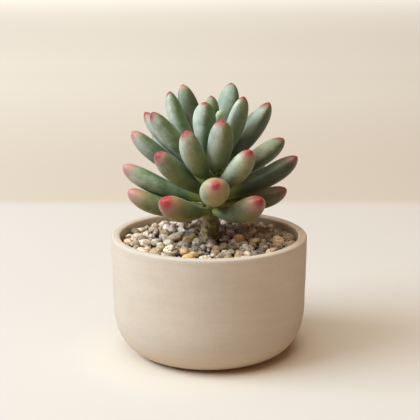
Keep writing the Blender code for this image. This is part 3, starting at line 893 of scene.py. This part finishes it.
def make_grit_bed(look):
    """The fine dark layer that shows between the pebbles; its near-black colour is partly dark grit
    and partly painted shade in the gaps.
    """
    sides, rings = GRIT_SIDES, GRIT_RINGS
    verts = []
    for i in range(rings):
        radius = BED_INNER + (BED_OUTER - BED_INNER) * i / (rings - 1)
        for j in range(sides):
            turn = 2 * math.pi * j / sides
            x, y = radius * math.cos(turn), radius * math.sin(turn)
            flat = Vector((x, y, 0))
            lift = noise.noise(flat / (1.1 * MM)) + 0.5 * noise.noise(flat / (0.5 * MM))
            verts.append((x, y, bed_height(x, y) + (GRIT_ROUGH * lift - GRIT_SUNK) * MM))
    count = len(verts)
    verts += [(v[0], v[1], GRIT_FOOT) for v in verts]
    faces = []
    for i in range(rings - 1):
        for j in range(sides):
            k = (j + 1) % sides
            quad = (i * sides + j, (i + 1) * sides + j, (i + 1) * sides + k, i * sides + k)
            faces.append(quad)
            faces.append(tuple(count + v for v in quad[::-1]))
    last = (rings - 1) * sides
    for j in range(sides):
        k = (j + 1) % sides
        faces.append((j, k, count + k, count + j))
        faces.append((last + k, last + j, count + last + j, count + last + k))
    add_piece("grit_bed", verts, faces, look, "gravel", None)


def stone_material():
    """Each stone's own colour, clouded, with dark and pale speckles, and painted shade on its
    underside.
    """
    m = Shader("pebble_stone", Roughness=0.8, Specular_IOR_Level=0.25)
    place = m.vector("ADD", m.place(), m.scaled(m.read("seed"), 0.013))
    base = m.read("stone", "Color")
    speckle = m.read("speckle")
    cloud = m.noise(place, 520, 5, 0.65)
    colour = m.mix(m.span(cloud, 0.3, 0.7), m.mix(0.3, base, (0.08, 0.05, 0.022)),
                   m.mix(0.2, base, (0.95, 0.84, 0.68)))
    dark = m.span(m.noise(place, 1050, 3, 0.6), 0.54, 0.62)
    colour = m.mix(m.times(dark, m.times(speckle, 0.85)), colour, (0.04, 0.027, 0.018))
    pale = m.span(m.noise(m.vector("ADD", place, (0.31, 0.17, 0.05)), 1500, 3, 0.6), 0.57, 0.68)
    colour = m.mix(m.times(pale, m.times(speckle, 0.7)), colour, (0.9, 0.78, 0.62))
    # Painted shade: each stone is darker towards its underside, where it lies in shadow.
    colour = m.scaled(colour, m.span(m.read("above"), -0.6, 0.35, 0.2, 1.04))
    pits = m.bump(dark, -0.35 * MM)
    return m.finish(Base_Color=colour, Normal=m.bump(cloud, 0.16 * MM, pits),
                    Roughness=m.span(cloud, 0.3, 0.7, 0.88, 0.7))


def grit_material():
    m = Shader("dark_grit", Roughness=0.95)
    place = m.place()
    grains = m.cells(place, 1500, "Color")
    shade = m.noise(place, 300, 3)
    # Partly painted shade: the grit is near-black, standing for the shadow in the gaps between
    # pebbles as well as for dark grit.
    colour = m.mix(m.span(grains, 0.35, 0.8), (0.012, 0.008, 0.005), (0.07, 0.045, 0.026))
    colour = m.mix(m.span(shade, 0.4, 0.6, 0.0, 0.5), colour, (0.03, 0.021, 0.014))
    return m.finish(Base_Color=colour, Normal=m.bump(m.cells(place, 1500), -0.5 * MM))


# Stem

def stem_scars(rng):
    """The scars of fallen leaves, in a spiral: height, bearing and size of each."""
    scars = []
    for i in range(SCARS):
        height = (SCAR_FOOT + SCAR_STEP * i + rng.uniform(-0.3, 0.3)) * MM
        turn = math.radians(SCAR_TURN * i) + rng.uniform(-0.2, 0.2)
        scars.append((height, turn, rng.uniform(0.7, 1.2)))
    return scars


def scar_mark(scars, turn, height):
    """How strongly the scars mark a place on the stem."""
    mark = 0.0
    for scar_height, scar_turn, size in scars:
        off = math.remainder(turn - scar_turn, 2 * math.pi) / SCAR_WIDE
        high = (height - scar_height) / (SCAR_TALL * size)
        if abs(off) < 2 and abs(high) < 3:
            mark += size * math.exp(-off * off * 1.6 - high * high)
    return mark


def make_stem(look):
    scars = stem_scars(random.Random(STEM_SEED))
    verts, marks = [], []
    for i in range(STEM_RINGS):
        height = STEM_FOOT + (STEM_TOP - STEM_FOOT) * i / STEM_RINGS
        radius = between(STEM_RADII, height)
        for j in range(STEM_SIDES):
            turn = 2 * math.pi * j / STEM_SIDES
            mark = scar_mark(scars, turn, height)
            way = Vector((math.cos(turn), math.sin(turn), 0))
            rough = noise.noise(Vector((way.x * 3, way.y * 3, height * 260)))
            rough += 0.5 * noise.noise(Vector((way.x * 7, way.y * 7, height * 500)))
            bare = 1.0 if height < BARK_SMOOTH_FROM else 0.25
            swell = (SCAR_RISE * mark - SCAR_SINK + BARK_ROUGH * rough) * bare
            verts.append(stem_axis(height) + (radius + swell) * way)
            marks.append(mark)
    # Painted light: how much each point faces the key lamp, for the bark's colour.
    sunny = facing_lamp(verts, STEM_SIDES, STEM_RINGS)
    verts += [stem_axis(STEM_FOOT), stem_axis(STEM_TOP)]
    add_piece("stem_bark", verts, tube_faces(STEM_SIDES, STEM_RINGS), look, "stem", "stem",
              scar=marks + [0, 0], sunny=sunny)


def stem_material():
    """Green bark with rings, painted tan as painted light on the side facing the key lamp and
    darker as painted shade on the far side.
    """
    m = Shader("stem_bark", Roughness=0.8)
    place = m.place()
    height = m.parts(place)[2]
    fibres = m.noise(m.vector("MULTIPLY", place, (1, 1, 0.25)), 1300, 4, 0.6)
    patches = m.noise(place, 260, 3)
    colour = m.mix(m.span(fibres, 0.35, 0.65), (0.07, 0.076, 0.02), (0.17, 0.165, 0.055))
    colour = m.mix(m.span(patches, 0.42, 0.62, 0.0, 0.5), colour, (0.24, 0.23, 0.09))
    # Painted light and shade: tan where the stem faces the key lamp, dark green away from it,
    # broken up by patches.
    lamp_side = m.math("MULTIPLY_ADD", m.math("SUBTRACT", patches, 0.5), 1.6, m.read("sunny"))
    colour = m.mix(m.span(lamp_side, 0.3, 0.75, 0.0, 0.9), colour, (0.58, 0.48, 0.28))
    colour = m.mix(m.span(lamp_side, 0.0, -0.6, 0.0, 0.85), colour, (0.07, 0.07, 0.02))
    colour = m.mix(m.span(m.read("scar"), 0.25, 0.8, 0.0, 0.4), colour, (0.4, 0.35, 0.19))
    young = m.mix(m.span(patches, 0.4, 0.6), (0.2, 0.24, 0.06), (0.28, 0.3, 0.1))
    colour = m.mix(m.span(height, 66 * MM, 76 * MM), colour, young)
    return m.finish(Base_Color=colour, Normal=m.bump(fibres, 0.12 * MM))


def make_husks(look):
    """Thin curled scraps, each with two faces and a rim."""
    verts, faces = [], []
    row, sheet = HUSK_ACROSS + 1, (HUSK_ACROSS + 1) * (HUSK_ALONG + 1)
    rim = (list(range(HUSK_ACROSS)) + [i * row + HUSK_ACROSS for i in range(HUSK_ALONG)]
           + [HUSK_ALONG * row + j for j in range(HUSK_ACROSS, 0, -1)]
           + [i * row for i in range(HUSK_ALONG, 0, -1)])
    for bearing, height, long, wide, lean in HUSKS:
        turn = math.radians(bearing)
        out = heading(0, turn)
        side = Vector((math.cos(turn), math.sin(turn), 0))
        foot = stem_axis(height * MM) + out * (between(STEM_RADII, height * MM) - HUSK_SEAT)
        first = len(verts)
        for face in (HUSK_FACE, -HUSK_FACE):
            for i in range(HUSK_ALONG + 1):
                along = i / HUSK_ALONG
                bend = math.radians(lean) * (0.4 + along)
                way = out * math.sin(bend) + Vector((0, 0, math.cos(bend)))
                spine = foot + way * (along * long * MM)
                half = wide * MM / 2 * (1 - along ** 2.2) ** 0.6 * (0.7 + 0.3 * along)
                for j in range(HUSK_ACROSS + 1):
                    x = j / HUSK_ACROSS * 2 - 1
                    curl = -0.35 * half * x * x + 0.12 * MM * math.sin(5 * x + 3 * along)
                    verts.append(spine + side * (x * half) + out * (curl + face * MM))
        for i in range(HUSK_ALONG):
            for j in range(HUSK_ACROSS):
                a = first + i * row + j
                faces.append((a, a + 1, a + row + 1, a + row))
                faces.append((a + sheet, a + sheet + row, a + sheet + row + 1, a + sheet + 1))
        for a, b in zip(rim, rim[1:] + rim[:1]):
            faces.append((first + b, first + a, first + sheet + a, first + sheet + b))
    add_piece("stem_husks", verts, faces, look, "stem", None)


def husk_material():
    m = Shader("dry_husk", Roughness=0.75, Subsurface_Weight=0.1, Subsurface_Scale=1 * MM)
    place = m.place()
    fibres = m.noise(m.vector("MULTIPLY", place, (1, 1, 0.2)), 1600, 3)
    colour = m.mix(m.span(fibres, 0.35, 0.65), (0.36, 0.28, 0.16), (0.64, 0.53, 0.36))
    return m.finish(Base_Color=colour, Normal=m.bump(fibres, 0.06 * MM))


# Studio

TABLE_EDGE = 321 * MM        # where the pale floor gives way to the background
EDGE_BLUR = 16 * MM
FLOOR_HALF = 4.0
LAMPS = (                    # name, place, size, power and tint
    ("key", Vector((-1865, -430, 1610)) * MM, (2.0, 1.0), 94.8, (0.7, 0.85, 1.0)),
    ("top", Vector((-320, -330, 2430)) * MM, (2.4, 2.4), 82.0, (1.0, 0.887, 0.678)),
)
SKY_TINT = (1.0, 0.54, 0.35, 1)
SKY_STRENGTH = 0.28
PAINTED_LIGHT_CLOSE = (0.74, 0.63, 0.49)     # warm painted light right by the pot's foot, lifting the shade under its belly
PAINTED_LIGHT_FOOT = (0.56, 0.52, 0.465)     # the same painted light further out, fading to the plain floor


def add_lamp(name, place, size, power, tint):
    lamp = bpy.data.lights.new(name, "AREA")
    lamp.shape = "RECTANGLE"
    lamp.size, lamp.size_y = size
    lamp.energy = power
    lamp.color = tint
    held = bpy.data.objects.new(name, lamp)
    held.location = place
    held.rotation_euler = (VIEW_TARGET - place).to_track_quat("-Z", "Y").to_euler()
    bpy.context.scene.collection.objects.link(held)


def make_studio():
    m = Shader("studio_floor", Roughness=0.9)
    x, y, _ = m.parts(m.place())
    # Painted shade: the near floor darkens slightly to the right, away from the key lamp.
    near = m.mix(m.span(x, -0.4, 0.4), (0.46, 0.46, 0.45), (0.44, 0.43, 0.41))
    # Painted light: the backdrop grows lighter with distance, making up for the lamps' falloff, and
    # darker to the right as painted shade.
    backdrop = m.mix(m.span(y, 0.32, 1.4), (0.43, 0.395, 0.345), (0.65, 0.65, 0.605))
    backdrop = m.mix(m.span(x, -0.5, 0.6, 0.0, 0.07), backdrop, (0, 0, 0))
    reach = m.reach(x, y)
    # Painted light: the floor round the pot's foot is made lighter and warmer, to lift the shade
    # under the pot's belly.
    near = m.mix(m.span(reach, 36 * MM, 80 * MM, 1.0, 0.0), near, PAINTED_LIGHT_FOOT)
    near = m.mix(m.span(reach, 34 * MM, 50 * MM, 1.0, 0.0), near, PAINTED_LIGHT_CLOSE)
    far = m.span(y, TABLE_EDGE - EDGE_BLUR, TABLE_EDGE + EDGE_BLUR)
    # Painted light: the far backdrop glows though it is no lamp, a little more on the left.
    glow = m.times(m.math("MAXIMUM", m.math("SUBTRACT", y, 1.2), 0.0), 0.27)
    look = m.finish(Base_Color=m.mix(far, near, backdrop), Emission_Color=(1.04, 1.05, 0.95),
                    Emission_Strength=m.times(glow, m.span(x, -0.8, 0.8, 1.08, 0.93)))
    mesh = bpy.data.meshes.new("floor")
    corners = [(u * FLOOR_HALF, v * FLOOR_HALF, 0) for u, v in ((-1, -1), (1, -1), (1, 1), (-1, 1))]
    mesh.from_pydata(corners, [], [(0, 1, 2, 3)])
    mesh.materials.append(look)
    floor = bpy.data.objects.new("floor", mesh)
    bpy.context.scene.collection.objects.link(floor)

    for lamp in LAMPS:
        add_lamp(*lamp)
    world = bpy.data.worlds.new("studio")
    world.use_nodes = True
    background = world.node_tree.nodes["Background"]
    background.inputs["Color"].default_value = SKY_TINT
    background.inputs["Strength"].default_value = SKY_STRENGTH
    bpy.context.scene.world = world


def make_camera():
    lens = bpy.data.cameras.new("camera")
    lens.angle = math.radians(VIEW_ANGLE)
    camera = bpy.data.objects.new("camera", lens)
    pitch = math.radians(VIEW_PITCH)
    camera.location = VIEW_TARGET + VIEW_DISTANCE * Vector((0, -math.cos(pitch), math.sin(pitch)))
    camera.rotation_euler = (math.pi / 2 - pitch, 0, 0)
    bpy.context.scene.collection.objects.link(camera)
    bpy.context.scene.camera = camera


make_camera()
make_studio()
bpy.context.scene.view_settings.view_transform = "Standard"

make_pot(pot_material())
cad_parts["soil"].data.materials.clear()
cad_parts["soil"].data.materials.append(soil_material())
make_grit_bed(grit_material())
make_gravel(stone_material())
make_stem(stem_material())
make_husks(husk_material())
leaf_look = leaf_material()
for leaf_name, leaf_values in LEAVES.items():
    tip = BLUNT_TIP if leaf_name in BLUNT_LEAVES else LEAF_TIP
    make_leaf(leaf_name, leaf_values, leaf_look, "leaf", tip)
make_leaf("bud", BUD, bud_material(), "bud", BUD_TIP)
